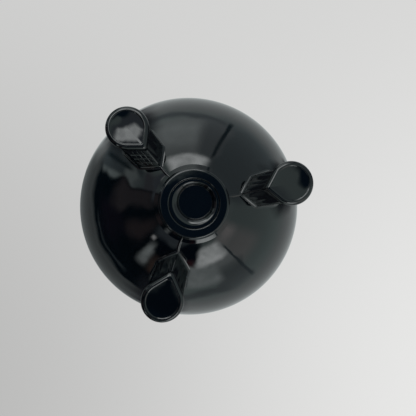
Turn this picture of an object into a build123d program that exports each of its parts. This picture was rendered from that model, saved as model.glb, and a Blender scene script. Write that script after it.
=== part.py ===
from build123d import *
import math
import os

# Black clay tripod pot: a globe on three splayed, keeled legs, with a stepped foot ring under it.
# The pot stands upright on its three soles. The origin is on the floor, on the axis of the globe,
# with +Z up. Every piece of clay that is formed on its own and luted on is a solid of its own.

# ---- driving dimensions, millimetres and degrees ----
BODY_RADIUS = 75.0  # outside of the globe
WALL = 6.0  # thickness of the globe's wall
BODY_HEIGHT = 83.0  # centre of the globe above the soles

SEAT_RADIUS = 18.5  # flat under the globe where the foot ring is luted on
RING_RADIUS = 17.5  # outside of the foot ring
RING_FACE = 6.0  # lowest face of the foot ring above the soles
RING_ROUND = 1.6  # rounding of the ring's outer edge
RING_FLARE = 1.0  # height over which the ring widens to its seat
STEP_RADIUS = 12.3  # first step of the recess, where the ring ends and the base plate starts
STEP_DEPTH = 0.7
FLOOR_RADIUS = 8.4  # flat floor of the recess
ROLL_CORNER = 9.1  # where the recess's side would meet the step if it were not rolled over
ROLL_RADIUS = 2.9  # rounding that rolls the step down into the recess
ROLL_DEPTH = 2.4

LEG_AZIMUTHS = {"front": -90.0, "right": 30.0, "left": 150.0}
SOLE_CENTRE = 47.2  # from the axis to the middle of the sole's round part
SOLE_RADIUS = 10.3
SOLE_TIP = 34.0  # from the axis to the sole's point
SOLE_THICKNESS = 3.2
SOLE_EDGE = 0.8  # rounding of the sole's lower edge
ANKLE_INSET = 1.2  # how far the leg stands back from the sole's edge
ANKLE_SHOULDER = 8.4  # half width of the leg where a keel face turns into a flank
ANKLE_SHOULDER_AT = 43.0  # that turn's distance from the axis
ANKLE_ROUND = 4.0  # rounding of that turn
TOP_LEVEL = 35.0  # height of the leg's upper section, inside the globe
TOP_TIP = -1.8  # keel of that section, from the axis
TOP_SHOULDER = 7.2
TOP_SHOULDER_AT = 15.7
TOP_ROUND = 2.5
TOP_BACK_CENTRE = 41.0  # middle of its round back, from the axis
TOP_BACK_RADIUS = 9.3
COLLAR_WIDTH = 1.3  # coil of clay pressed round the root of a leg
COLLAR_HEIGHT = 0.9
RIB_WIDTH = 1.2  # ridge from the foot ring to the root of a leg
RIB_HEIGHT = 0.8

NECK_LEVEL = 145.5  # where the neck is luted on the globe
NECK_WAIST_LEVEL = 152.5
NECK_TOP_LEVEL = 161.5
NECK_WAIST_RADIUS = 36.5
NECK_TOP_RADIUS = 43.0
NECK_WALL = 5.5
NECK_BORE_RADIUS = 30.5  # narrowest part of the mouth
NECK_OUTSIDE_ENDS = ((-1, 0.75), (0.55, 1))  # directions of the neck's outside at its foot and top
NECK_INSIDE_ENDS = ((-0.7, -1), (-0.2, -1))  # directions of its inside at its top and foot
LIP_RADIUS = 3.6  # radius of the rolled coil that makes the lip

# ---- sizes worked out from those ----
INNER_RADIUS = BODY_RADIUS - WALL
BODY_CENTRE = (0, 0, BODY_HEIGHT)
SEAT_LEVEL = BODY_HEIGHT - math.sqrt(BODY_RADIUS**2 - SEAT_RADIUS**2)
NECK_RISE = NECK_LEVEL - BODY_HEIGHT
NECK_FOOT_OUTER = math.sqrt(BODY_RADIUS**2 - NECK_RISE**2)
NECK_FOOT_INNER = math.sqrt(INNER_RADIUS**2 - NECK_RISE**2)
LIP_CENTRE = (NECK_TOP_RADIUS - NECK_WALL / 2, NECK_TOP_LEVEL + LIP_RADIUS / 2)
LIP_CUTTER = 4 * LIP_RADIUS  # side of the square that trims the coil flat on the neck
SHELF_LEVEL = RING_FACE + STEP_DEPTH
RECESS_LEVEL = SHELF_LEVEL + ROLL_DEPTH


def teardrop(centre, radius, tip):
    """Sole outline along X: a round end about `centre` and two straight sides that meet at `tip`."""
    reach = centre - tip
    slant = math.acos(radius / reach)
    touch = (centre - radius * math.cos(slant), radius * math.sin(slant))
    mirrored = (touch[0], -touch[1])
    with BuildSketch(mode=Mode.PRIVATE) as face:
        with BuildLine():
            Line((tip, 0), touch)
            ThreePointArc(touch, (centre + radius, 0), mirrored)
            Line(mirrored, (tip, 0))
        make_face()
    return face.sketch


def leg_section(tip, shoulder_at, shoulder, rounding, back_centre, back_radius, grow):
    """Shield-shaped section along X: a keel at `tip`, rounded shoulders, flanks and a round back."""
    with BuildSketch(mode=Mode.PRIVATE) as face:
        with BuildLine():
            Polyline((back_centre, back_radius), (shoulder_at, shoulder), (tip, 0))
            Polyline((tip, 0), (shoulder_at, -shoulder), (back_centre, -back_radius))
            ThreePointArc(
                (back_centre, -back_radius), (back_centre + back_radius, 0), (back_centre, back_radius)
            )
        make_face()
        shoulders = face.vertices().sort_by(Axis.X)[1:3]
        fillet(shoulders, rounding)
        if grow:
            offset(amount=grow, kind=Kind.INTERSECTION)
    return face.sketch


def leg_frame(azimuth, level):
    """Plane at a height above the soles, with its X axis pointing out along a leg."""
    angle = math.radians(azimuth)
    return Plane(
        origin=(0, 0, level),
        x_dir=(math.cos(angle), math.sin(angle), 0),
        z_dir=(0, 0, 1),
    )


def leg_blank(azimuth, grow=0.0):
    """Keeled bar of a leg, running up into the globe, grown sideways by `grow`."""
    ankle_tip = SOLE_TIP + ANKLE_INSET
    ankle_back = (SOLE_CENTRE, SOLE_RADIUS - ANKLE_INSET)
    top_back = (TOP_BACK_CENTRE, TOP_BACK_RADIUS)
    ankle = leg_section(ankle_tip, ANKLE_SHOULDER_AT, ANKLE_SHOULDER, ANKLE_ROUND, *ankle_back, grow)
    top = leg_section(TOP_TIP, TOP_SHOULDER_AT, TOP_SHOULDER, TOP_ROUND, *top_back, grow)
    with BuildPart(mode=Mode.PRIVATE) as blank:
        with BuildSketch(leg_frame(azimuth, SOLE_THICKNESS)):
            add(ankle)
        with BuildSketch(leg_frame(azimuth, TOP_LEVEL)):
            add(top)
        loft()
    return blank.part


def ball(radius):
    """Solid ball about the globe's centre."""
    with BuildPart(Plane(BODY_CENTRE), mode=Mode.PRIVATE) as solid:
        Sphere(radius)
    return solid.part


parts = {}
globe = ball(BODY_RADIUS)
collar_ball = ball(BODY_RADIUS + COLLAR_HEIGHT)
rib_ball = ball(BODY_RADIUS + RIB_HEIGHT)

# ---- globe: two shells, luted together at the widest line ----
with BuildPart() as lower_bowl:
    with BuildSketch(Plane.XZ):
        with BuildLine():
            seat_angle = math.degrees(math.asin(SEAT_RADIUS / BODY_RADIUS))
            CenterArc((0, BODY_HEIGHT), BODY_RADIUS, -90 + seat_angle, 90 - seat_angle)
            Line((BODY_RADIUS, BODY_HEIGHT), (INNER_RADIUS, BODY_HEIGHT))
            CenterArc((0, BODY_HEIGHT), INNER_RADIUS, 0, -90)
            Line((0, BODY_HEIGHT - INNER_RADIUS), (0, SEAT_LEVEL))
            Line((0, SEAT_LEVEL), (SEAT_RADIUS, SEAT_LEVEL))
        make_face()
    revolve(axis=Axis.Z)
parts["lower_bowl"] = lower_bowl

with BuildPart() as upper_bowl:
    with BuildSketch(Plane.XZ):
        with BuildLine():
            outer_angle = math.degrees(math.asin(NECK_RISE / BODY_RADIUS))
            inner_angle = math.degrees(math.asin(NECK_RISE / INNER_RADIUS))
            CenterArc((0, BODY_HEIGHT), BODY_RADIUS, 0, outer_angle)
            Line((NECK_FOOT_OUTER, NECK_LEVEL), (NECK_FOOT_INNER, NECK_LEVEL))
            CenterArc((0, BODY_HEIGHT), INNER_RADIUS, inner_angle, -inner_angle)
            Line((INNER_RADIUS, BODY_HEIGHT), (BODY_RADIUS, BODY_HEIGHT))
        make_face()
    revolve(axis=Axis.Z)
parts["upper_bowl"] = upper_bowl

# ---- neck and lip: two coils of clay on the globe's opening ----
with BuildPart() as neck_collar:
    with BuildSketch(Plane.XZ):
        with BuildLine():
            Spline(
                (NECK_FOOT_OUTER, NECK_LEVEL),
                (NECK_WAIST_RADIUS, NECK_WAIST_LEVEL),
                (NECK_TOP_RADIUS, NECK_TOP_LEVEL),
                tangents=NECK_OUTSIDE_ENDS,
            )
            Line((NECK_TOP_RADIUS, NECK_TOP_LEVEL), (NECK_TOP_RADIUS - NECK_WALL, NECK_TOP_LEVEL))
            Spline(
                (NECK_TOP_RADIUS - NECK_WALL, NECK_TOP_LEVEL),
                (NECK_BORE_RADIUS, NECK_WAIST_LEVEL),
                (NECK_FOOT_INNER, NECK_LEVEL),
                tangents=NECK_INSIDE_ENDS,
            )
            Line((NECK_FOOT_INNER, NECK_LEVEL), (NECK_FOOT_OUTER, NECK_LEVEL))
        make_face()
    revolve(axis=Axis.Z)
parts["neck_collar"] = neck_collar

with BuildPart() as rolled_lip:
    with BuildSketch(Plane.XZ):
        with Locations(LIP_CENTRE):
            Circle(LIP_RADIUS)
        with Locations((NECK_TOP_RADIUS, NECK_TOP_LEVEL)):
            Rectangle(LIP_CUTTER, LIP_CUTTER, align=(Align.CENTER, Align.MAX), mode=Mode.SUBTRACT)
    revolve(axis=Axis.Z)
parts["rolled_lip"] = rolled_lip

# ---- foot: a ring with a stepped round recess, closed by a plate ----
with BuildPart() as foot_ring:
    with BuildSketch(Plane.XZ):
        with BuildLine():
            Polyline(
                (STEP_RADIUS, SEAT_LEVEL),
                (STEP_RADIUS, RING_FACE),
                (RING_RADIUS, RING_FACE),
                (RING_RADIUS, SEAT_LEVEL - RING_FLARE),
                (SEAT_RADIUS, SEAT_LEVEL),
                close=True,
            )
        make_face()
    revolve(axis=Axis.Z)
    face_edges = foot_ring.edges().filter_by(GeomType.CIRCLE).group_by(Axis.Z)[0]
    fillet(face_edges.sort_by(SortBy.RADIUS)[-1], RING_ROUND)
parts["foot_ring"] = foot_ring

with BuildPart() as base_plate:
    with BuildSketch(Plane.XZ):
        with BuildLine():
            Polyline(
                (0, SEAT_LEVEL),
                (0, RECESS_LEVEL),
                (FLOOR_RADIUS, RECESS_LEVEL),
                (ROLL_CORNER, SHELF_LEVEL),
                (STEP_RADIUS, SHELF_LEVEL),
                (STEP_RADIUS, SEAT_LEVEL),
                close=True,
            )
        make_face()
    revolve(axis=Axis.Z)
    step_edges = base_plate.edges().filter_by(GeomType.CIRCLE).group_by(Axis.Z)[0]
    fillet(step_edges.sort_by(SortBy.RADIUS)[0], ROLL_RADIUS)
parts["base_plate"] = base_plate

# ---- three legs, each with its sole, the coil round its root and its ridge ----
for side, azimuth in LEG_AZIMUTHS.items():
    with BuildPart() as sole:
        with BuildSketch(leg_frame(azimuth, 0)):
            add(teardrop(SOLE_CENTRE, SOLE_RADIUS, SOLE_TIP))
        extrude(amount=SOLE_THICKNESS)
        fillet(sole.edges().group_by(Axis.Z)[0], SOLE_EDGE)
    parts[f"sole_{side}"] = sole

    blank = leg_blank(azimuth)
    grown_blank = leg_blank(azimuth, COLLAR_WIDTH)

    with BuildPart() as leg:
        add(blank)
        add(globe, mode=Mode.SUBTRACT)
    parts[f"leg_{side}"] = leg

    with BuildPart() as collar:
        add(grown_blank)
        add(collar_ball, mode=Mode.INTERSECT)
        add(globe, mode=Mode.SUBTRACT)
        add(blank, mode=Mode.SUBTRACT)
    parts[f"root_collar_{side}"] = collar

    with BuildPart() as rib:
        with BuildSketch(leg_frame(azimuth, 0)):
            Rectangle(SOLE_TIP, RIB_WIDTH, align=(Align.MIN, Align.CENTER))
        extrude(amount=BODY_HEIGHT)
        add(rib_ball, mode=Mode.INTERSECT)
        add(globe, mode=Mode.SUBTRACT)
        above = (Align.CENTER, Align.CENTER, Align.MIN)
        Cylinder(SEAT_RADIUS, BODY_HEIGHT, align=above, mode=Mode.SUBTRACT)
        add(grown_blank, mode=Mode.SUBTRACT)
    parts[f"luting_rib_{side}"] = rib

os.makedirs("parts", exist_ok=True)
for name, piece in parts.items():
    piece.part.label = name
    export_step(piece.part, f"parts/{name}.step")
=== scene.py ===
"""Black clay tripod pot, seen from under its feet: high-resolution clay round the CAD frame."""

import math
from typing import NamedTuple

import bpy
import numpy as np
from mathutils import Matrix, Vector


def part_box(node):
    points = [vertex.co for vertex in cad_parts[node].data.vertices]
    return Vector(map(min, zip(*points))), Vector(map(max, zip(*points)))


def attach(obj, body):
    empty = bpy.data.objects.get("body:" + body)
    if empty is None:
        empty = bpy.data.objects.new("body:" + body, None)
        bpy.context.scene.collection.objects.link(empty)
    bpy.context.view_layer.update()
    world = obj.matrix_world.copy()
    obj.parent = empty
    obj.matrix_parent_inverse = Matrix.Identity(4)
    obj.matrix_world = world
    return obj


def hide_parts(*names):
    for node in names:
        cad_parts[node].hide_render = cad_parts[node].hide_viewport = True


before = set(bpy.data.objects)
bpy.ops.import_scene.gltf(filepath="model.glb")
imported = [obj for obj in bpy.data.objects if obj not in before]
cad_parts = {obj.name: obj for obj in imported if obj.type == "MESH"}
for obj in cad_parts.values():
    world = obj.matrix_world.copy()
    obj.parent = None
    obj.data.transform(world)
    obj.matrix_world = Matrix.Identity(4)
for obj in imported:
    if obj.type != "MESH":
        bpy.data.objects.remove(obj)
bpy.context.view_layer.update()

MM = 0.001


# ---------------------------------------------------------------- sizes, metres, from the frame
def corner(node, end, axis):
    """One coordinate of a node's box: end 0 is the lowest corner, 1 the highest."""
    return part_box(node)[end][axis]


RADIUS = corner("lower_bowl", 1, 0)
CENTRE = np.array((0.0, 0.0, corner("lower_bowl", 1, 2)))
WALL = 6.0 * MM
SEAT_LEVEL = corner("lower_bowl", 0, 2)
NECK_LEVEL = corner("upper_bowl", 1, 2)
NECK_TOP = corner("neck_collar", 1, 2)
NECK_TOP_RADIUS = corner("neck_collar", 1, 0)
LIP_TOP = corner("rolled_lip", 1, 2)
LIP_RADIUS = corner("rolled_lip", 1, 0)
RING_FACE = corner("foot_ring", 0, 2)
SEAT_RADIUS = corner("foot_ring", 1, 0)
STEP_RADIUS = corner("base_plate", 1, 0)
STEP_INSIDE = STEP_RADIUS - 0.02 * MM  # the base plate ends just inside the ring
SOLE_RADIUS = corner("sole_front", 1, 0)
SOLE_TIP = -corner("sole_front", 1, 1)
SOLE_CENTRE = -corner("sole_front", 0, 1) - SOLE_RADIUS
SOLE_THICKNESS = corner("sole_front", 1, 2)

ANKLE_INSET = 1.2 * MM
TOP_LEVEL = 35.0 * MM
ROOT_LEVEL = 12.4 * MM  # where a leg's keel meets the globe
FILLET = 1.6 * MM  # concave coil pressed round a leg's root
KEEL_ROUND = 0.5 * MM
KEEL_BOW = 0.5 * MM  # how far a leg's keel is hollowed between ankle and root


class Section(NamedTuple):
    """A leg cut across: keel, a flat face on each side to a rounded shoulder, and a round back."""

    keel: float  # distance from the axis
    shoulder_at: float  # distance from the axis
    shoulder: float  # half width
    shoulder_round: float
    back_at: float  # distance of the back's middle from the axis
    back_round: float


ANKLE = Section(
    keel=SOLE_TIP + ANKLE_INSET, shoulder_at=43.0 * MM, shoulder=8.4 * MM, shoulder_round=4.0 * MM,
    back_at=SOLE_CENTRE, back_round=SOLE_RADIUS - ANKLE_INSET,
)
TOP = Section(
    keel=-1.8 * MM, shoulder_at=15.7 * MM, shoulder=7.2 * MM, shoulder_round=2.5 * MM,
    back_at=41.0 * MM, back_round=9.3 * MM,
)


class Leg(NamedTuple):
    """How one hand-made leg differs from the other two."""

    azimuth: float  # degrees round the pot
    root_pull: float  # how much nearer to the axis its root is
    tip_round: float  # radius of the sole's point
    tip_extra: float  # how far that point is drawn out
    spread: float  # the sole's size, as a share of the mould's
    shift: float  # how far the sole sits outwards
    dish: float  # depth of the thumb's dish in the sole
    lopsided: float  # share by which the dish is deeper towards the pot's axis
    rib_bend: float  # sideways bow of the luting rib


LEGS = {
    "front": Leg(
        azimuth=-90.0, root_pull=-1.0 * MM, tip_round=2.6 * MM, tip_extra=2.4 * MM,
        spread=0.98, shift=0.6 * MM, dish=0.40 * MM, lopsided=0.0, rib_bend=0.6 * MM,
    ),
    "right": Leg(
        azimuth=30.0, root_pull=0.3 * MM, tip_round=1.3 * MM, tip_extra=0.4 * MM,
        spread=0.99, shift=-0.4 * MM, dish=0.55 * MM, lopsided=0.0, rib_bend=-0.3 * MM,
    ),
    "left": Leg(
        azimuth=150.0, root_pull=0.3 * MM, tip_round=0.8 * MM, tip_extra=0.2 * MM,
        spread=1.05, shift=0.7 * MM, dish=0.75 * MM, lopsided=0.1, rib_bend=0.0,
    ),
}


# ---------------------------------------------------------------- mesh helpers
def smooth_step(low, high, value):
    """0 below low, 1 above high, and a smooth rise between."""
    x = np.clip((value - low) / (high - low), 0.0, 1.0)
    return x * x * (3.0 - 2.0 * x)


WAVES = np.random.default_rng(11)
WAVE_LENGTHS = np.linspace(34, 95, 7) * MM
WAVE_VECTORS = WAVES.normal(size=(len(WAVE_LENGTHS), 3))
WAVE_VECTORS /= np.linalg.norm(WAVE_VECTORS, axis=1)[:, None]
WAVE_VECTORS *= (2 * math.pi / WAVE_LENGTHS)[:, None]
WAVE_PHASES = WAVES.uniform(0, 2 * math.pi, len(WAVE_LENGTHS))
UNEVEN = 0.0028  # how much of its distance from the globe's centre a point may lose
UNEVEN_FROM, UNEVEN_FULLY = 3.0 * MM, 20.0 * MM  # heights: the soles stay true


def settle(points):
    """Hand-formed unevenness: every piece follows one smooth field, so the joins still meet."""
    wave = np.sin(points @ WAVE_VECTORS.T + WAVE_PHASES).mean(axis=1)
    fade = smooth_step(UNEVEN_FROM, UNEVEN_FULLY, points[:, 2])
    shrink = UNEVEN * (0.5 + 0.5 * wave) * fade
    return CENTRE + (points - CENTRE) * (1.0 - shrink)[:, None]


def make_piece(name, rows, node, wrap=False, materials=(), inside=None):
    """Closed mesh from rows of points round a loop. Rows wrap into a ring, or close on two poles."""
    rows = np.asarray(rows, dtype=float)
    count, around = rows.shape[:2]
    points = rows.reshape(-1, 3)
    column = np.arange(around)
    after = (column + 1) % around
    faces = []
    for r in range(count if wrap else count - 1):
        a, b = r * around, ((r + 1) % count) * around
        faces.append(np.stack((a + column, a + after, b + after, b + column), axis=1))
    faces = np.concatenate(faces).tolist()
    if not wrap:
        poles = np.array((rows[0].mean(axis=0), rows[-1].mean(axis=0)))
        first, last = len(points), len(points) + 1
        end = (count - 1) * around
        points = np.concatenate((points, poles))
        faces += [(first, j, i) for i, j in zip(column.tolist(), after.tolist())]
        faces += [(last, end + i, end + j) for i, j in zip(column.tolist(), after.tolist())]
    mesh = bpy.data.meshes.new(name)
    mesh.from_pydata(settle(points).tolist(), [], faces)
    mesh.polygons.foreach_set("use_smooth", [True] * len(mesh.polygons))
    for material in materials:
        mesh.materials.append(material)
    if inside is not None:
        middles = np.empty(len(mesh.polygons) * 3)
        mesh.polygons.foreach_get("center", middles)
        mesh.polygons.foreach_set("material_index", inside(middles.reshape(-1, 3)).astype(int))
    mesh.update()
    if sum_volume(mesh) < 0:
        mesh.flip_normals()
    piece = bpy.data.objects.new(name, mesh)
    bpy.context.scene.collection.objects.link(piece)
    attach(piece, "root")
    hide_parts(node)


def sum_volume(mesh):
    """Signed volume of a closed mesh: negative if its faces look inward."""
    mesh.calc_loop_triangles()
    points = np.empty(len(mesh.vertices) * 3)
    mesh.vertices.foreach_get("co", points)
    points = points.reshape(-1, 3)
    triangles = np.empty(len(mesh.loop_triangles) * 3, dtype=int)
    mesh.loop_triangles.foreach_get("vertices", triangles)
    a, b, c = (points[triangles.reshape(-1, 3)[:, k]] for k in range(3))
    return float(np.einsum("ij,ij->i", a, np.cross(b, c)).sum() / 6)


def arc(centre, radius, start, end, count):
    """Points on a circle in the profile plane, angles in degrees."""
    angles = np.radians(np.linspace(start, end, count))
    return np.stack((centre[0] + radius * np.cos(angles), centre[1] + radius * np.sin(angles)), axis=1)


def line(start, end, count):
    """Points on a straight stretch, without its last point."""
    t = np.linspace(0, 1, count, endpoint=False)[:, None]
    return np.asarray(start) * (1 - t) + np.asarray(end) * t


ARC_STEP = 5.0  # degrees between the points of a rounded corner


def rounded(points, radii, step):
    """Open outline with each corner turned into an arc, and points about `step` apart."""
    out = [np.array([points[0]])]
    for before, here, beyond, radius in zip(points, points[1:], points[2:], radii):
        before, here, beyond = (np.asarray(p, dtype=float) for p in (before, here, beyond))
        into = (here - before) / np.linalg.norm(here - before)
        away = (beyond - here) / np.linalg.norm(beyond - here)
        turn = math.acos(np.clip(into @ away, -1, 1))
        reach = radius * math.tan(turn / 2)
        start = here - reach * into
        side = np.sign(into[0] * away[1] - into[1] * away[0])
        middle = start + side * radius * np.array((-into[1], into[0]))
        run = np.linalg.norm(start - out[-1][-1])
        out.append(line(out[-1][-1], start, max(2, int(run / step)))[1:])
        first = math.degrees(math.atan2(*(start - middle)[::-1]))
        sweep = side * math.degrees(turn)
        out.append(arc(middle, radius, first, first + sweep, max(4, int(abs(sweep) / ARC_STEP))))
    run = np.linalg.norm(np.asarray(points[-1]) - out[-1][-1])
    out.append(line(out[-1][-1], points[-1], max(2, int(run / step)))[1:])
    out.append(np.array([points[-1]]))
    return np.concatenate(out)


SEGMENTS = 320  # points round the pot


def revolve(profile):
    """Rows of points from a profile of (distance from the axis, height) pairs."""
    angles = np.linspace(0, 2 * math.pi, SEGMENTS, endpoint=False)
    rows = np.empty((len(profile), SEGMENTS, 3))
    rows[:, :, 0] = profile[:, :1] * np.cos(angles)
    rows[:, :, 1] = profile[:, :1] * np.sin(angles)
    rows[:, :, 2] = profile[:, 1:]
    return rows


def turned(points, azimuth):
    """Points turned about the pot's axis."""
    a = math.radians(azimuth)
    turn = np.array(((math.cos(a), math.sin(a), 0), (-math.sin(a), math.cos(a), 0), (0, 0, 1)))
    return points @ turn


# ---------------------------------------------------------------- materials
def node(tree, kind, **values):
    """New shader node with its settings and unlinked inputs filled in."""
    made = tree.nodes.new(kind)
    for key, value in values.items():
        if key in made.inputs:
            made.inputs[key].default_value = value
        else:
            setattr(made, key, value)
    return made


def ramp(tree, source, low, high, start, end):
    """Map a factor from low..high to start..end."""
    made = node(tree, "ShaderNodeMapRange")
    for key, value in (("From Min", low), ("From Max", high), ("To Min", start), ("To Max", end)):
        made.inputs[key].default_value = value
    tree.links.new(source, made.inputs["Value"])
    return made.outputs["Result"]


def noise(tree, coordinates, scale, detail, roughness=0.5):
    """Noise texture over the pot; its factor output."""
    made = node(tree, "ShaderNodeTexNoise", Scale=scale, Detail=detail, Roughness=roughness)
    tree.links.new(coordinates, made.inputs["Vector"])
    return made.outputs["Fac"]


def math_node(tree, operation, *inputs):
    """Maths node fed with sockets or numbers."""
    made = node(tree, "ShaderNodeMath", operation=operation)
    for socket, value in zip(made.inputs, inputs):
        if isinstance(value, (int, float)):
            socket.default_value = value
        else:
            tree.links.new(value, socket)
    return made.outputs[0]


def along(tree, place, axis):
    """Share of the direction that points along an axis."""
    made = node(tree, "ShaderNodeVectorMath", operation="DOT_PRODUCT")
    made.inputs[1].default_value = axis
    tree.links.new(place, made.inputs[0])
    return made.outputs["Value"]


def soft_edge(tree, value, edge, softness):
    """0 below the edge, 1 above it, angles in degrees."""
    made = node(tree, "ShaderNodeMapRange", interpolation_type="SMOOTHSTEP")
    made.inputs["From Min"].default_value = math.radians(edge - softness)
    made.inputs["From Max"].default_value = math.radians(edge + softness)
    tree.links.new(value, made.inputs["Value"])
    return made.outputs["Result"]


def blend(tree, share, low, high):
    """Colour between two colours or sockets."""
    made = node(tree, "ShaderNodeMix", data_type="RGBA")
    tree.links.new(share, made.inputs[0])
    for socket, value in zip(made.inputs[6:8], (low, high)):
        if isinstance(value, tuple):
            socket.default_value = (*value, 1)
        else:
            tree.links.new(value, socket)
    return made.outputs[2]


CLAY_IOR = 1.5
RELIEF_HEIGHT = 0.4 * MM


def clay(name, colours, drift, wear, wear_range, roughness, relief, strength):
    """Clay surface: two colours that drift into each other, uneven roughness and a fine relief.

    drift, wear and relief are noises: scale, detail and, where it isn't the usual one, roughness.
    """
    material = bpy.data.materials.new(name)
    material.use_nodes = True
    tree = material.node_tree
    shader = tree.nodes["Principled BSDF"]
    shader.inputs["IOR"].default_value = CLAY_IOR
    place = node(tree, "ShaderNodeTexCoord").outputs["Object"]
    colour = blend(tree, noise(tree, place, *drift), *colours)
    rough = ramp(tree, noise(tree, place, *wear), *wear_range, *roughness)
    bump = node(tree, "ShaderNodeBump", Strength=strength, Distance=RELIEF_HEIGHT)
    tree.links.new(noise(tree, place, *relief), bump.inputs["Height"])
    tree.links.new(colour, shader.inputs["Base Color"])
    tree.links.new(rough, shader.inputs["Roughness"])
    tree.links.new(bump.outputs["Normal"], shader.inputs["Normal"])
    return material


# mirror-bright black surface: faint colour drift, finger smudges, fine orange peel
GLOSS = clay(
    "burnished_clay",
    colours=((0.0002, 0.0012, 0.0022), (0.0012, 0.0020, 0.0030)),
    drift=(28.0, 3.0),
    wear=(45.0, 5.0, 0.6),
    wear_range=(0.42, 0.72),
    roughness=(0.025, 0.10),
    relief=(130.0, 2.0),
    strength=0.10,
)
# unburnished inside: matt dark grey with wiping marks and grit
BARE = clay(
    "bare_clay",
    colours=((0.016, 0.016, 0.017), (0.034, 0.033, 0.032)),
    drift=(60.0, 6.0, 0.65),
    wear=(90.0, 4.0),
    wear_range=(0.3, 0.7),
    roughness=(0.42, 0.62),
    relief=(900.0, 4.0),
    strength=0.35,
)


# ---------------------------------------------------------------- globe, neck and lip
def sphere_height(distance, radius):
    """How far above the globe's centre a ball has a given distance from the axis."""
    return math.sqrt(radius**2 - distance**2)


def fine_ends(start, end, count):
    """Angles that crowd towards both ends, so that shading runs on across a join."""
    near = np.array((0.0002, 0.0008, 0.0025))
    eased = np.unique(np.concatenate((np.linspace(0, 1, count), near, 1 - near)))
    return start + (end - start) * eased


def globe_arc(radius, start, end, count):
    """Profile points on the globe; angles are measured up from its widest line."""
    angles = np.radians(fine_ends(start, end, count))
    return np.stack((radius * np.cos(angles), CENTRE[2] + radius * np.sin(angles)), axis=1)


INNER = RADIUS - WALL
GLOSSY_SHARE = 0.55  # share of the wall, from the outside in, that counts as burnished
POLE = 0.5 * MM  # how near to the axis the lower bowl's flat seat runs
POLE_ANGLE = -89.6  # where the globe's inside starts, in degrees from its widest line


def is_inside(middles):
    """True for faces that look into the pot."""
    return np.linalg.norm(middles - CENTRE, axis=1) < RADIUS - WALL * GLOSSY_SHARE


def lower_globe():
    """Lower bowl: from the inside's lowest point, over the rim and down to the flat seat."""
    seat = math.degrees(math.asin(SEAT_RADIUS / RADIUS)) - 90
    inside = globe_arc(INNER, POLE_ANGLE, 0, 60)
    rim = line((INNER, CENTRE[2]), (RADIUS, CENTRE[2]), 4)[1:]
    outside = globe_arc(RADIUS, 0, seat, 120)
    bottom = line((SEAT_RADIUS, SEAT_LEVEL), (POLE, SEAT_LEVEL), 8)[1:]
    rows = revolve(np.concatenate((inside, rim, outside, bottom)))
    make_piece("lower_bowl_clay", rows, "lower_bowl", materials=(GLOSS, BARE), inside=is_inside)


def upper_globe():
    """Upper bowl: a ring of clay from the widest line to the flat under the neck."""
    rise = NECK_LEVEL - CENTRE[2]
    outside = globe_arc(RADIUS, 0, math.degrees(math.asin(rise / RADIUS)), 80)
    inside = globe_arc(INNER, math.degrees(math.asin(rise / INNER)), 0, 50)
    flat = line(outside[-1], inside[0], 5)[1:]
    rim = line(inside[-1], outside[0], 5)[1:]
    rows = revolve(np.concatenate((outside, flat, inside, rim)))
    make_piece("upper_bowl_clay", rows, "upper_bowl", wrap=True, materials=(GLOSS, BARE), inside=is_inside)


def hermite(start, end, start_tangent, end_tangent, count):
    """Smooth stretch between two points with given tangents."""
    t = np.linspace(0, 1, count)[:, None]
    a, b, u, v = (np.asarray(p, dtype=float) for p in (start, end, start_tangent, end_tangent))
    return (
        (2 * t**3 - 3 * t**2 + 1) * a + (t**3 - 2 * t**2 + t) * u
        + (-2 * t**3 + 3 * t**2) * b + (t**3 - t**2) * v
    )


WAIST_OUT, WAIST_IN, WAIST_LEVEL = 36.5 * MM, 30.5 * MM, NECK_LEVEL + 7.0 * MM
NECK_WALL = 5.5 * MM  # at the top
LIP_STANDS = 1.5  # height of the lip above the neck, in radii of its coil
LIP_BURIED = 0.05 * MM


def neck_and_lip():
    """Flared neck, which leaves the globe smoothly, and the coil on top of it."""
    rise = NECK_LEVEL - CENTRE[2]
    foot_out, foot_in = sphere_height(rise, RADIUS), sphere_height(rise, INNER)
    up_sphere = np.array((-rise, foot_out)) / RADIUS
    waist_out, waist_in = (WAIST_OUT, WAIST_LEVEL), (WAIST_IN, WAIST_LEVEL)
    top_out, top_in = (NECK_TOP_RADIUS, NECK_TOP), (NECK_TOP_RADIUS - NECK_WALL, NECK_TOP)
    rows = [
        hermite((foot_out, NECK_LEVEL), waist_out, up_sphere * 9 * MM, (0, 7 * MM), 40)[:-1],
        hermite(waist_out, top_out, (0, 9 * MM), (9 * MM, 7 * MM), 40),
        line(top_out, top_in, 5)[1:],
        hermite(top_in, waist_in, (-8 * MM, -7 * MM), (0, -8 * MM), 40)[:-1],
        hermite(waist_in, (foot_in, NECK_LEVEL), (0, -6 * MM), (-2 * MM, -7 * MM), 30),
        line((foot_in, NECK_LEVEL), (foot_out, NECK_LEVEL), 5)[1:],
    ]
    make_piece(
        "neck_collar_clay", revolve(np.concatenate(rows)), "neck_collar", wrap=True, materials=(GLOSS,)
    )

    tube = (LIP_TOP - NECK_TOP) / LIP_STANDS
    coil = arc((LIP_RADIUS - tube, LIP_TOP - tube), tube, -150, 210, 73)[:-1]
    coil[:, 1] = np.maximum(coil[:, 1], NECK_TOP - LIP_BURIED)
    make_piece("rolled_lip_clay", revolve(coil), "rolled_lip", wrap=True, materials=(GLOSS,))


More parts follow.
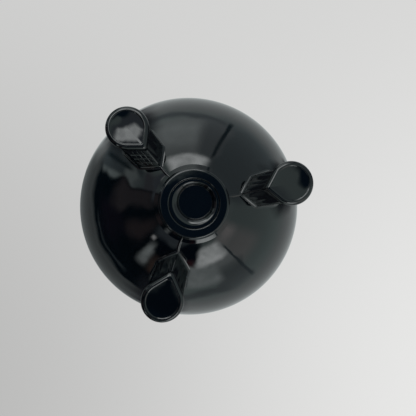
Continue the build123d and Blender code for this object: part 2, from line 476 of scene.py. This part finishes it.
# ---------------------------------------------------------------- foot ring and base plate
RING_OUT = 17.5 * MM  # edge of the ring's flat face
RING_FLARE = 0.15 * MM  # its side leans out by this
LANDING = 19.9 * MM  # where the ring's outer curve runs into the globe
PLATE_POLE = 0.4 * MM  # how near to the axis the base plate's profile runs
STEP_DEPTH = 0.7 * MM  # from the ring's face to the base plate's
RECESS_DEPTH = 2.4 * MM
RECESS_FLOOR, RECESS_EDGE, RECESS_ROLL = 8.4 * MM, 9.1 * MM, 2.9 * MM  # two radii and the rolled edge's
RECESS_OFFSET = np.array((-0.35, 1.0)) * MM  # pressed a little off centre
OFFSET_ENDS = 12.0 * MM  # distance from the axis where the plate is true again


def foot():
    """Foot ring with a coved outer side, and the base plate with its rolled, stepped recess."""
    landing_level = CENTRE[2] - sphere_height(LANDING, RADIUS)
    under = SEAT_LEVEL + 0.6 * MM
    hidden = under + 0.5 * MM
    profile = rounded(
        (
            (STEP_RADIUS, under),
            (STEP_RADIUS, RING_FACE),
            (RING_OUT, RING_FACE),
            (RING_OUT + RING_FLARE, landing_level - 1.0 * MM),
            (LANDING, landing_level),
            (LANDING + 0.2 * MM, hidden),
            (STEP_RADIUS + 0.3 * MM, hidden),
        ),
        (0.6 * MM, 1.5 * MM, 0.7 * MM, 0.02 * MM, 0.05 * MM),
        0.2 * MM,
    )
    make_piece("foot_ring_clay", revolve(profile), "foot_ring", wrap=True, materials=(GLOSS,))

    shelf = RING_FACE + STEP_DEPTH
    recess = shelf + RECESS_DEPTH
    plate = rounded(
        (
            (PLATE_POLE, recess),
            (RECESS_FLOOR, recess),
            (RECESS_EDGE, shelf),
            (STEP_INSIDE, shelf),
            (STEP_INSIDE, SEAT_LEVEL),
            (PLATE_POLE, SEAT_LEVEL),
        ),
        (0.2 * MM, RECESS_ROLL, 0.25 * MM, 0.1 * MM),
        0.15 * MM,
    )
    rows = revolve(plate)
    share = 1 - smooth_step(RECESS_FLOOR, OFFSET_ENDS, plate[:, 0])
    rows[:, :, :2] += share[:, None, None] * RECESS_OFFSET
    make_piece("base_plate_clay", rows, "base_plate", materials=(GLOSS,))


# ---------------------------------------------------------------- legs
def mix(a, b, k):
    """Value part of the way from a to b."""
    return a + (b - a) * k


STRETCHES = {"keel": 6, "face": 66, "shoulder": 12, "flank": 36, "back": 30}  # points on each


def leg_outline(level, pull):
    """One half of a leg's section at a height, from keel to back."""
    share = (level - SOLE_THICKNESS) / (TOP_LEVEL - SOLE_THICKNESS)
    cut = Section(*(mix(low, high, share) for low, high in zip(ANKLE, TOP)))
    root_share = (level - SOLE_THICKNESS) / (ROOT_LEVEL - SOLE_THICKNESS)
    tip = cut.keel + KEEL_BOW * math.sin(math.pi * min(root_share, 1.5)) - pull * root_share
    corner_at = np.array((cut.shoulder_at - pull * root_share, cut.shoulder))
    face_angle = math.atan2(corner_at[1], corner_at[0] - tip)
    flank_angle = math.atan2(cut.back_round - corner_at[1], cut.back_at - corner_at[0])
    face_normal, flank_normal = 90 + math.degrees(face_angle), 90 + math.degrees(flank_angle)
    forth = np.array((math.cos(face_angle), math.sin(face_angle)))
    turn_start = corner_at - cut.shoulder_round * math.tan((face_angle - flank_angle) / 2) * forth
    turn_middle = turn_start + cut.shoulder_round * np.array((forth[1], -forth[0]))
    keel_middle = (tip + KEEL_ROUND / math.sin(face_angle), 0)

    keel = arc(keel_middle, KEEL_ROUND, 180, face_normal, STRETCHES["keel"])
    face = line(keel[-1], turn_start, STRETCHES["face"] + 1)[1:]
    turn = arc(turn_middle, cut.shoulder_round, face_normal, flank_normal, STRETCHES["shoulder"])
    back = arc((cut.back_at, 0), cut.back_round, flank_normal, 0, STRETCHES["back"])
    flank = line(turn[-1], back[0], STRETCHES["flank"] + 1)[1:]
    return np.concatenate((keel, face, turn, flank, back))


def both_sides(half):
    """Closed loop from one half of a symmetrical outline and its mirror image."""
    return np.concatenate((half, half[-2:0:-1] * (1, -1)))


def leg_wall(levels, pull):
    """Grid of points on a leg's plain wall, one row for each height."""
    loops = ((both_sides(leg_outline(level, pull)), level) for level in levels)
    return np.array([np.column_stack((loop, np.full(len(loop), level))) for loop, level in loops])


def wall_normals(wall):
    """Outward normals of a wall grid."""
    across = np.roll(wall, -1, axis=1) - np.roll(wall, 1, axis=1)
    upward = np.gradient(wall, axis=0)
    normals = np.cross(upward, across)
    return normals / np.linalg.norm(normals, axis=2)[:, :, None]


def crossing(values, grids):
    """For each column, the grids' values at the height where its values fall through zero."""
    columns = np.arange(values.shape[1])
    row = np.argmax(values < 0, axis=0)
    low, high = values[row - 1, columns], values[row, columns]
    share = (low / (low - high))[:, None]
    return [g[row - 1, columns] * (1 - share) + g[row, columns] * share for g in grids]


def side_parameters():
    """For each column: how far across the keel face and the flank, or -1 off them, and its side."""
    half = []
    for stretch, count in STRETCHES.items():
        across = (np.arange(count) + 1) / count
        outside = np.full(count, -1.0)
        half.append((
            across if stretch == "face" else outside,
            across if stretch == "flank" else outside,
        ))
    half = np.concatenate(half, axis=1)
    loop = np.concatenate((half, half[:, -2:0:-1]), axis=1)
    sign = np.where(np.arange(loop.shape[1]) < half.shape[1], 1, -1)
    return loop[0], loop[1], sign


FLUTES, FLUTE_DEPTH = 3, 0.20 * MM  # on each keel face
FLANK_FLUTES, FLANK_DEPTH = 2, 0.16 * MM
LATTICE_FACE = ("right", -1)  # the one keel face pressed with a lattice instead: its leg and side
LATTICE_COLUMNS, LATTICE_ROWS = 4, 5
LATTICE_LINE, LATTICE_DEPTH = 0.17, 0.14 * MM  # half width, as a share of a stud's pitch, and depth


def hollow(x):
    """Round hollows between sharp crests, one hollow for each whole number."""
    return np.abs(np.sin(np.pi * x))


def groove(x, width):
    """1 in the middle of each groove at whole numbers, 0 between the grooves."""
    off = np.abs(x - np.round(x))
    return 1.0 - smooth_step(0.0, width, off)


def window(x, rise, fall, soft):
    """1 between rise and fall, 0 outside, with soft edges."""
    return smooth_step(rise, rise + soft, x) * (1 - smooth_step(fall - soft, fall, x))


def relief(side, way):
    """How deep each column is pressed at its own share of the way from ankle to root."""
    face, flank, sign = side_parameters()
    phase = LEGS[side].azimuth + 40 * sign
    wander = 0.05 * np.sin(5 * face + 3 * way + phase) + 0.03 * np.sin(11 * face - 4 * way + phase)
    strength = 0.65 + 0.35 * np.sin(4 * face + 2.5 * way + phase)
    depth = FLUTE_DEPTH * strength * hollow((face + wander) * FLUTES)
    if side == LATTICE_FACE[0]:
        columns = groove(face * LATTICE_COLUMNS, LATTICE_LINE)
        rows = groove(way * LATTICE_ROWS, LATTICE_LINE)
        pattern = LATTICE_DEPTH * np.maximum(columns, rows) * window(way, 0.18, 1.0, 0.2)
        depth = np.where(sign == LATTICE_FACE[1], pattern, depth)
    on_face = np.where(face >= 0, depth * window(face, 0.0, 1.0, 0.04), 0.0)
    pressed = FLANK_DEPTH * hollow(flank * FLANK_FLUTES) * window(flank, 0.0, 1.0, 0.1)
    on_flank = np.where(flank >= 0, pressed, 0.0)
    return (on_face + on_flank) * window(way, 0.02, 0.99, 0.08)


LEVELS = np.linspace(2.0 * MM, TOP_LEVEL, 260)


class Wall:
    """Plain wall of one leg, and where a ball rolled round its root touches it."""

    def __init__(self, side):
        self.points = leg_wall(LEVELS, LEGS[side].root_pull)
        self.normals = wall_normals(self.points)
        balls = self.points + FILLET * self.normals
        gap = np.linalg.norm(balls - CENTRE, axis=2) - (RADIUS + FILLET)
        grids = (self.points, self.normals, balls)
        self.touch, self.touch_normal, self.touch_ball = crossing(gap, grids)


def place_on_leg(rows, side, kind, wrap=False):
    """Piece of a leg from rows of points that are drawn along +X."""
    rows = turned(np.array(rows), LEGS[side].azimuth)
    make_piece(f"{kind}_{side}_clay", rows, f"{kind}_{side}", wrap=wrap, materials=(GLOSS,))


WALLS = {side: Wall(side) for side in LEGS}
BURIED = 0.8 * MM  # how deep a piece runs on inside its neighbour
LEG_RUNS_ON = 3.0 * MM  # the same for a leg above its root, where the globe hides it
ANKLE_FLARE, FLARE_HEIGHT = 0.5 * MM, 1.6 * MM


def leg(side):
    """One leg: its plain wall, pressed with flutes and flared to the sole."""
    plain = WALLS[side]
    start = SOLE_THICKNESS - BURIED
    ends = plain.touch[:, 2] + LEG_RUNS_ON
    columns = np.arange(plain.points.shape[1])
    rows = []
    for share in np.linspace(0, 1, 150):
        heights = start + (ends - start) * share
        place = (heights - LEVELS[0]) / (LEVELS[1] - LEVELS[0])
        row = np.clip(place.astype(int), 0, len(LEVELS) - 2)
        part = np.clip(place - row, 0, 1)[:, None]
        wall, normal = (
            mix(grid[row, columns], grid[row + 1, columns], part) for grid in (plain.points, plain.normals)
        )
        way = (heights - SOLE_THICKNESS) / (plain.touch[:, 2] - SOLE_THICKNESS)
        flare = ANKLE_FLARE * (1 - smooth_step(0.0, FLARE_HEIGHT, heights - SOLE_THICKNESS))
        rows.append(wall + normal * (flare - relief(side, way))[:, None])
    place_on_leg(rows, side, "leg")


COLLAR_BURIED = 0.7 * MM
SINK = 0.004 * MM  # a thin edge dips this far under the surface it runs out on


def root_collar(side):
    """Concave coil between leg and globe: an arc that touches both, closed inside the clay."""
    plain = WALLS[side]
    outward = plain.touch_ball - CENTRE
    outward /= np.linalg.norm(outward, axis=1)[:, None]
    start, end = -plain.touch_normal, -outward
    angle = np.arccos(np.clip((start * end).sum(axis=1), -1, 1))[:, None]
    rows = [plain.touch - COLLAR_BURIED * plain.touch_normal]
    for share in np.linspace(0, 1, 12):
        spoke = (np.sin((1 - share) * angle) * start + np.sin(share * angle) * end) / np.sin(angle)
        rows.append(plain.touch_ball + (FILLET + SINK) * spoke)
    rows.append(rows[-1] - COLLAR_BURIED * outward)
    place_on_leg(rows, side, "root_collar", wrap=True)


def sole_outline(side):
    """Teardrop about the middle of its round part, with its point towards the pot's axis."""
    reach = SOLE_CENTRE - SOLE_TIP + LEGS[side].tip_extra
    slant = math.acos(SOLE_RADIUS / reach)
    touch = (-SOLE_RADIUS * math.cos(slant), SOLE_RADIUS * math.sin(slant))
    tip_middle = (-reach + LEGS[side].tip_round / math.cos(slant), 0)
    start = 180 - math.degrees(slant)
    tip_arc = arc(tip_middle, LEGS[side].tip_round, 180, start, 8)
    straight = line(tip_arc[-1], touch, 34)[1:]
    round_end = arc((0, 0), SOLE_RADIUS, start, 0, 80)
    return both_sides(np.concatenate((tip_arc, straight, round_end)))


RIM_CREST = 2.0 * MM  # from the sole's edge to the highest line of its rim
RIM_CREASE = 2.6 * MM  # from the edge to the crease inside the rim
CREASE_DEPTH = 0.22 * MM
RIM_ROUND, ANKLE_STEP_ROUND = 1.95 * MM, 0.7 * MM
STEP_RUNS_ON = 1.5 * MM  # the step goes on under the ankle


def sole_profile():
    """Distance in from the sole's edge, height, and share of the thumb's dish, from the middle out."""
    share = np.linspace(0.02, 1, 44)
    inset = RIM_CREASE + (SOLE_RADIUS - RIM_CREASE) * (1 - share)
    dish = np.column_stack((inset, np.full(len(share), CREASE_DEPTH), 1 - share**2))
    crease = hermite(dish[-1, :2], (RIM_CREST, 0.0), (-0.3 * MM, -0.1 * MM), (-0.8 * MM, 0.0), 12)[1:]
    step = (ANKLE_INSET + STEP_RUNS_ON, SOLE_THICKNESS)
    corners = ((RIM_CREST, 0.0), (0.0, 0.0), (0.0, SOLE_THICKNESS), step)
    edge = rounded(corners, (RIM_ROUND, ANKLE_STEP_ROUND), 0.15 * MM)[1:]
    rim = np.concatenate((crease, edge))
    return np.concatenate((dish, np.column_stack((rim, np.zeros(len(rim))))))


def sole(side):
    """Pressed sole: a shallow dish inside a rounded rim, a bulging edge and a step to the ankle."""
    made = LEGS[side]
    outline = sole_outline(side)
    rows = []
    for inset, height, dish in sole_profile():
        loop = outline * (SOLE_RADIUS - inset) / SOLE_RADIUS * made.spread
        deeper = 1 - made.lopsided * loop[:, 0] / SOLE_RADIUS
        heights = height + made.dish * dish * deeper
        rows.append(np.column_stack((SOLE_CENTRE + made.shift + loop[:, 0], loop[:, 1], heights)))
    place_on_leg(rows, side, "sole")


RIB_START, RIB_END = 17.0 * MM, 25.4 * MM  # distances from the axis
RIB_HALF_WIDTH, RIB_HEIGHT = 0.85 * MM, 0.34 * MM
RIB_ACROSS, RIB_UNDER = 29, 5  # points over the ridge and back under it


def luting_rib(side):
    """Low ridge on the globe from the foot ring to a leg's keel, a little higher at both ends."""
    made = LEGS[side]
    across = np.concatenate((np.linspace(-1, 1, RIB_ACROSS), np.linspace(0.9, -0.9, RIB_UNDER)))
    under = np.arange(len(across)) >= RIB_ACROSS
    crown = np.maximum(0.0, 1 - across**2) ** 2
    rows = []
    for share in np.linspace(0, 1, 50):
        distance = mix(RIB_START, RIB_END - made.root_pull, share)
        rise = 1 + 0.5 * smooth_step(0.75, 1.0, share) + 0.4 * (1 - smooth_step(0.0, 0.2, share))
        beside = across * RIB_HALF_WIDTH + made.rib_bend * math.sin(math.pi * share)
        drop = np.array([sphere_height(math.hypot(distance, y), RADIUS) for y in beside])
        point = np.column_stack((np.full(len(across), distance), beside, CENTRE[2] - drop))
        out = point - CENTRE
        out /= np.linalg.norm(out, axis=1)[:, None]
        lift = np.where(under, -BURIED, RIB_HEIGHT * rise * crown - SINK)
        rows.append(point + out * lift[:, None])
    place_on_leg(rows, side, "luting_rib")


lower_globe()
upper_globe()
neck_and_lip()
foot()
for leg_name in LEGS:
    leg(leg_name)
    sole(leg_name)
    root_collar(leg_name)
    luting_rib(leg_name)


# ---------------------------------------------------------------- camera
EYE = CENTRE + RADIUS * np.array((0.0477, -0.0745, -3.0469))
FORWARD = Vector((-0.06965, 0.03709, 0.99688)).normalized()
UP = Vector((0.3124, 0.94986, -0.01352)).normalized()
RIGHT = FORWARD.cross(UP).normalized()
UP = RIGHT.cross(FORWARD).normalized()
SENSOR = 36.0
FOCAL_SHARE = 312.3 / 416  # focal length as a share of the picture's width


def frame_of(right, up, back):
    """Rotation whose X, Y and Z axes are the three directions."""
    return Matrix((right, up, back)).transposed()


camera = bpy.data.objects.new("camera", bpy.data.cameras.new("camera"))
bpy.context.scene.collection.objects.link(camera)
bpy.context.scene.camera = camera
camera.data.sensor_width = SENSOR
camera.data.lens = SENSOR * FOCAL_SHARE
camera.data.clip_start = 0.01
camera.matrix_world = Matrix.Translation(Vector(EYE)) @ frame_of(RIGHT, UP, -FORWARD).to_4x4()


# ---------------------------------------------------------------- light and stage
def softbox(name, direction, distance, size, radiance):
    """Square area light of a given surface brightness, turned to the globe and seen only in reflections."""
    light = bpy.data.lights.new(name, "AREA")
    light.shape = "SQUARE"
    light.size = size
    light.energy = radiance * size**2 * math.pi
    lamp = bpy.data.objects.new(name, light)
    level = (UP - UP.dot(direction) * direction).normalized()
    place = Matrix.Translation(Vector(CENTRE) + direction * distance)
    lamp.matrix_world = place @ frame_of(level.cross(direction), level, direction).to_4x4()
    lamp.visible_camera = False
    bpy.context.scene.collection.objects.link(lamp)


ROOM = (0.58, 0.71, 0.69)
TABLE = (0.56, 0.60, 0.60)
TABLE_STARTS, TABLE_SOFTNESS = 106, 12
# What else the glaze mirrors, each patch over the ones before it: (name, azimuth, half width, nearest,
# farthest, softness across, softness outwards, colour). Angles are in degrees round the globe's centre:
# azimuth from the camera's right towards its up, nearest and farthest from the line back to the camera.
REFLECTIONS = (
    ("right shade", 38, 30, 36, 112, 9, 9, (0.36, 0.43, 0.45)),
    ("far wall", -37, 14, 52, 80, 8, 9, (0.92, 0.93, 0.91)),
    ("pinkish wall", -37, 13, 40, 52, 8, 6, (1.5, 1.42, 1.40)),
    ("pale low", 148, 15, 34, 50, 6, 4, (0.30, 0.31, 0.34)),
    ("pale band", 149, 11, 50, 112, 2.5, 5, (0.24, 0.30, 0.32)),
    ("pale band edge", 157, 2.2, 66, 108, 2, 6, (0.78, 0.92, 0.92)),
    ("pale band end", 153, 7, 54, 71, 3, 5, (0.72, 0.84, 0.84)),
    ("dark fold", 147, 1.5, 66, 108, 1.5, 6, (0.06, 0.09, 0.10)),
    ("left shade", 200, 48, 108, 160, 10, 8, (0.19, 0.21, 0.21)),
    ("dark side", 200, 43, 22, 109, 2.5, 5, (0.004, 0.008, 0.012)),
    ("grey line", 203, 17, 97, 100, 6, 1.5, (0.12, 0.15, 0.16)),
    ("plum shade", 188, 13, 64, 92, 8, 9, (0.032, 0.020, 0.036)),
    ("brown shade", 170, 11, 34, 74, 5, 8, (0.185, 0.155, 0.16)),
    ("warm shade", 205, 9, 36, 64, 7, 8, (0.17, 0.125, 0.125)),
    ("streak", -132, 4.0, 50, 73, 3.5, 7, (1.9, 2.1, 2.1)),
    ("hot spot", -138, 2.5, 42, 46, 2, 1.5, (3.2, 3.2, 3.2)),
    ("warm spot", -120, 5, 62, 82, 4, 6, (0.26, 0.18, 0.15)),
    ("wedge", -58, 11, 50, 74, 2, 9, (1.05, 1.15, 1.15)),
    ("wedge shade", -59, 12, 78, 105, 2, 7, (0.42, 0.48, 0.49)),
    ("low pane", -80, 14, 56, 86, 4, 6, (1.5, 1.65, 1.65)),
    ("low shade", -82, 17, 93, 104, 4, 4, (0.34, 0.39, 0.40)),
    ("low window", -67, 15, 44, 62, 6, 3.5, (4.6, 4.8, 4.8)),
    ("low edge", -48, 1.1, 52, 106, 0.6, 4, (0.22, 0.27, 0.29)),
    ("dark low", -105, 25, 37, 56, 3, 4, (0.006, 0.008, 0.020)),
    ("red spot", -88, 5, 52, 58, 3, 3, (0.22, 0.06, 0.07)),
    ("dim ceiling", 122, 46, 5, 36, 8, 2, (0.32, 0.36, 0.41)),
    ("near pane", 95, 14, 16, 26.5, 5, 2, (4.3, 4.5, 4.5)),
    ("near pane corner", 120, 15, 16.5, 35, 4, 2, (4.3, 4.5, 4.5)),
    ("grey near", -82, 60, 23, 38, 12, 4, (0.26, 0.30, 0.34)),
    ("dark near", -95, 75, 3, 22, 12, 4, (0.012, 0.020, 0.036)),
    ("blue near", 2, 46, 0, 17, 10, 2, (0.022, 0.045, 0.085)),
    ("blue middle", 0, 180, -20, 6, 1, 2, (0.022, 0.045, 0.085)),
    ("high side", 76, 16, 50, 104, 3, 8, (0.50, 0.56, 0.58)),
    ("high haze", 99, 18, 50, 96, 6, 8, (0.98, 1.08, 1.08)),
    ("high shadow", 90, 26, 98, 107, 4, 4, (0.36, 0.41, 0.43)),
    ("high pane", 98, 14, 62, 86, 5, 6, (1.45, 1.6, 1.6)),
    ("high window", 91, 24, 31, 51, 6, 2.5, (4.8, 5.0, 5.0)),
    ("high edge", 64, 1.5, 54, 104, 0.8, 5, (0.06, 0.09, 0.10)),
    ("shade beyond leg_right", 128, 15, 88, 140, 7, 6, (0.05, 0.05, 0.06)),
    ("shade beyond leg_front", -112, 15, 88, 140, 6, 6, (0.05, 0.05, 0.06)),
    ("shade beyond leg_left", 13, 13, 90, 140, 6, 6, (0.05, 0.05, 0.06)),
)


BACKDROP_HALF_WIDTH, BACKDROP_HALF_HEIGHT = 0.42, 0.5  # sines of the angles off the camera's line
BACKDROP_ENDS = 1.3  # in those half sizes; the tone stays the same beyond
# the backdrop's level, slope and twist paint light falloff and shade on the table
BACKDROP_LEVEL, BACKDROP_LIGHT_SLOPE, BACKDROP_SHADE_TWIST = 0.652, 0.08, 0.05


def backdrop(tree, place):
    """Pale table seen behind the pot, with painted light falloff and shade: brighter to the picture's right
    and lower right.
    """
    x, y = (
        math_node(tree, "DIVIDE", along(tree, place, axis), half)
        for axis, half in ((RIGHT, BACKDROP_HALF_WIDTH), (UP, BACKDROP_HALF_HEIGHT))
    )
    x, y = (
        math_node(tree, "MINIMUM", math_node(tree, "MAXIMUM", off, -BACKDROP_ENDS), BACKDROP_ENDS)
        for off in (x, y)
    )
    # painted light and shade: the table lighter to the right, darker to the lower left
    slope = math_node(tree, "MULTIPLY_ADD", x, BACKDROP_LIGHT_SLOPE, BACKDROP_LEVEL)
    twist = math_node(tree, "MULTIPLY", math_node(tree, "MULTIPLY", x, y), BACKDROP_SHADE_TWIST)
    return blend(tree, math_node(tree, "SUBTRACT", slope, twist), (0.0, 0.0, 0.0), (1.0, 1.0, 0.99))


def bent_directions(tree, place):
    """Directions pushed about by a broad noise, so that soft shapes get wandering outlines."""
    bend = node(tree, "ShaderNodeTexNoise", Scale=2.6, Detail=1.0)
    tree.links.new(place, bend.inputs["Vector"])
    centred = node(tree, "ShaderNodeVectorMath", operation="SUBTRACT")
    centred.inputs[1].default_value = (0.5, 0.5, 0.5)
    tree.links.new(bend.outputs["Color"], centred.inputs[0])
    pushed = node(tree, "ShaderNodeVectorMath", operation="MULTIPLY_ADD")
    pushed.inputs[1].default_value = (0.32, 0.32, 0.32)
    tree.links.new(centred.outputs[0], pushed.inputs[0])
    tree.links.new(place, pushed.inputs[2])
    unit = node(tree, "ShaderNodeVectorMath", operation="NORMALIZE")
    tree.links.new(pushed.outputs[0], unit.inputs[0])
    return unit.outputs[0]


LAMP_LIKE = 1.4  # patches brighter than this shine unevenly
CRISP = 0.9  # patches at least this bright keep a straight outline; darker ones wander
THIN = 2  # degrees of half width: patches no wider than this keep theirs as well


def mirrored_room(tree, place):
    """Everything the glaze shows: windows, dim sides and the pale table."""
    bent = bent_directions(tree, place)
    straight_way, bent_way = (
        (way, math_node(tree, "ARCCOSINE", along(tree, way, -FORWARD))) for way in (place, bent)
    )
    colour = blend(tree, soft_edge(tree, straight_way[1], TABLE_STARTS, TABLE_SOFTNESS), ROOM, TABLE)
    uneven = ramp(tree, noise(tree, place, 5.0, 3.0), 0.35, 0.65, 0.62, 1.05)
    for _, azimuth, half, nearest, farthest, across, outwards, shade in REFLECTIONS:
        way, theta = bent_way if max(shade) < CRISP and half > THIN else straight_way
        a = math.radians(azimuth)
        ahead = math.cos(a) * RIGHT + math.sin(a) * UP
        beside = math.cos(a) * UP - math.sin(a) * RIGHT
        turn = math_node(tree, "ARCTAN2", along(tree, way, beside), along(tree, way, ahead))
        outside = soft_edge(tree, math_node(tree, "ABSOLUTE", turn), half, across)
        share = math_node(tree, "SUBTRACT", 1.0, outside)
        share = math_node(tree, "MULTIPLY", share, soft_edge(tree, theta, nearest, outwards))
        beyond = soft_edge(tree, theta, farthest, outwards)
        share = math_node(tree, "MULTIPLY", share, math_node(tree, "SUBTRACT", 1.0, beyond))
        if max(shade) > LAMP_LIKE:
            share = math_node(tree, "MULTIPLY", share, uneven)
        colour = blend(tree, share, colour, shade)
    return colour


def room():
    """World: a pale backdrop with painted light falloff for the camera, and the room round it for the
    glaze.
    """
    world = bpy.data.worlds.new("room")
    bpy.context.scene.world = world
    world.use_nodes = True
    world.cycles.sampling_method = "MANUAL"
    world.cycles.sample_map_resolution = 1024
    tree = world.node_tree
    place = node(tree, "ShaderNodeTexCoord").outputs["Generated"]
    path = node(tree, "ShaderNodeLightPath")
    seen = math_node(tree, "MAXIMUM", path.outputs["Is Camera Ray"], path.outputs["Is Diffuse Ray"])
    colour = blend(tree, seen, mirrored_room(tree, place), backdrop(tree, place))
    tree.links.new(colour, tree.nodes["Background"].inputs["Color"])


FLOOR_REACH, FLOOR_SIDES = 4.0, 96
FADE_FROM, FADE_TO = 0.25, 1.1  # distances over which the floor melts into the backdrop


def floor():
    """Pale floor under the soles. It is clear from below and far away, so the backdrop shows instead."""
    material = bpy.data.materials.new("floor")
    material.use_nodes = True
    tree = material.node_tree
    shader = tree.nodes["Principled BSDF"]
    shader.inputs["Base Color"].default_value = (0.72, 0.73, 0.71, 1)
    shader.inputs["Roughness"].default_value = 0.8
    distance = node(tree, "ShaderNodeVectorMath", operation="LENGTH")
    tree.links.new(node(tree, "ShaderNodeTexCoord").outputs["Object"], distance.inputs[0])
    fade = node(tree, "ShaderNodeMapRange", interpolation_type="SMOOTHSTEP")
    fade.inputs["From Min"].default_value = FADE_FROM
    fade.inputs["From Max"].default_value = FADE_TO
    tree.links.new(distance.outputs["Value"], fade.inputs["Value"])
    below = node(tree, "ShaderNodeNewGeometry").outputs["Backfacing"]
    clear = node(tree, "ShaderNodeBsdfTransparent")
    either = node(tree, "ShaderNodeMixShader")
    tree.links.new(math_node(tree, "MAXIMUM", below, fade.outputs["Result"]), either.inputs[0])
    tree.links.new(shader.outputs[0], either.inputs[1])
    tree.links.new(clear.outputs[0], either.inputs[2])
    tree.links.new(either.outputs[0], tree.nodes["Material Output"].inputs["Surface"])
    mesh = bpy.data.meshes.new("floor")
    angles = np.linspace(0, 2 * math.pi, FLOOR_SIDES, endpoint=False)
    ring = [(FLOOR_REACH * math.cos(a), FLOOR_REACH * math.sin(a), 0) for a in angles]
    mesh.from_pydata(ring, [], [tuple(range(FLOOR_SIDES))])
    mesh.materials.append(material)
    ground = bpy.data.objects.new("floor", mesh)
    ground.visible_shadow = ground.visible_glossy = False
    bpy.context.scene.collection.objects.link(ground)


room()
floor()
softbox("overhead", FORWARD, 0.9, 0.38, 9.0)

bpy.context.scene.view_settings.view_transform = "Standard"
